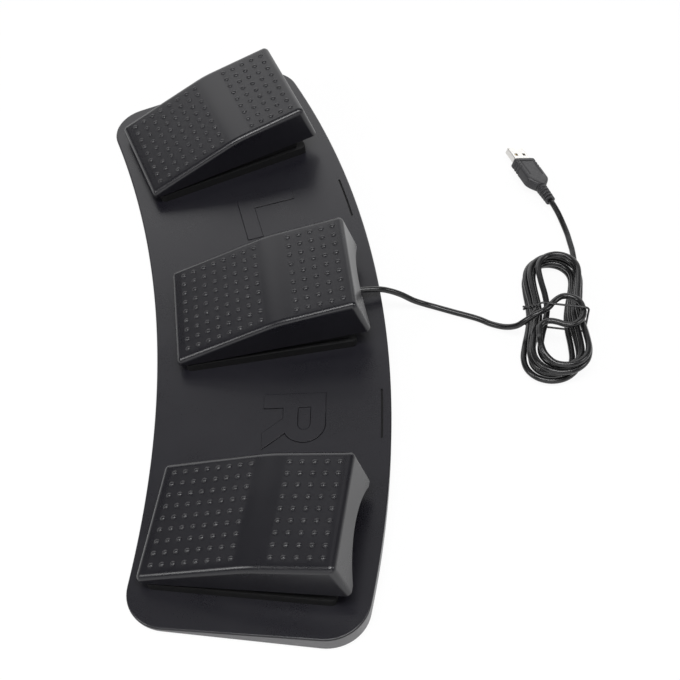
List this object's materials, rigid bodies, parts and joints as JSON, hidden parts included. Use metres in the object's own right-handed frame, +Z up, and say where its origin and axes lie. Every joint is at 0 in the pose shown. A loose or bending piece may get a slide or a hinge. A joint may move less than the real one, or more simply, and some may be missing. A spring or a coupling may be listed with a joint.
{
  "type": "usb foot pedal switch",
  "caption": "Foot switch with sprung treadles fanned out on a low curved wedge base, a tied hank of cord and a USB plug, for triggering computer keys by foot.",
  "frame": {"origin": "on the floor under the middle of the base, without its cord", "axes": "+X to the user's right along the base, +Y away from the user towards the cord, +Z up"},
  "size_m": [0.4312, 0.281, 0.0496],
  "materials": {
    "black_plastic": "fine matt moulded grain",
    "dark_plastic": "plain matt",
    "rubber": "matt",
    "steel": "plain drawn",
    "board": "green solder mask",
    "chip": "matt",
    "nylon": "matt",
    "cord": "glossy jacket",
    "grip": "satin",
    "nickel": "bright nickel",
    "gold": "bright"
  },
  "bodies": {
    "base": {"base_plate": "black_plastic", "bottom_cover": "dark_plastic", "cover_screws": "steel", "rubber_feet": "rubber", "pedal_body_left": "dark_plastic", "pedal_body_middle": "dark_plastic", "pedal_body_right": "dark_plastic", "body_screws": "steel", "hinge_pin_left": "steel", "hinge_pin_middle": "steel", "hinge_pin_right": "steel", "return_spring_left": "steel", "return_spring_middle": "steel", "return_spring_right": "steel", "bump_stops_left": "rubber", "bump_stops_middle": "rubber", "bump_stops_right": "rubber", "sensor_board_left": "board", "controller_board": "board", "sensor_board_right": "board", "board_screws": "steel", "light_gate_left": "chip", "light_gate_middle": "chip", "light_gate_right": "chip", "controller_chip": "chip", "link_connectors": "nylon", "link_cable_left": "cord", "link_cable_right": "cord", "cord_connector": "nylon", "cord_pigtail": "cord", "cord_gland": "rubber", "cord_lead": "cord", "cord_hank": "cord", "cord_tail": "cord", "cord_tie": "cord", "plug_grip": "grip", "plug_shell": "nickel", "plug_tongue": "nylon", "plug_contacts": "gold"},
    "left_treadle": {"treadle_left": "black_plastic"},
    "middle_treadle": {"treadle_middle": "black_plastic"},
    "right_treadle": {"treadle_right": "black_plastic"}
  },
  "joints": [
    {"name": "left_press", "type": "hinge", "parent": "base", "child": "left_treadle", "pos_m": [-0.14038, -0.04902, 0.01188], "axis": [-0.9646, -0.2631, -0.0207], "range_deg": [0, 3.5], "stiffness_Nm_per_rad": 6, "springref_deg": -3.44, "deforming": ["return_spring_left"]},
    {"name": "middle_press", "type": "hinge", "parent": "base", "child": "middle_treadle", "pos_m": [0, -0.03022, 0.01336], "axis": [-1, 0, 0], "range_deg": [0, 3.5], "stiffness_Nm_per_rad": 6, "springref_deg": -3.44, "deforming": ["return_spring_middle"]},
    {"name": "right_press", "type": "hinge", "parent": "base", "child": "right_treadle", "pos_m": [0.14038, -0.04902, 0.01188], "axis": [-0.9646, 0.2631, 0.0207], "range_deg": [0, 3.5], "stiffness_Nm_per_rad": 6, "springref_deg": -3.44, "deforming": ["return_spring_right"]}
  ]
}
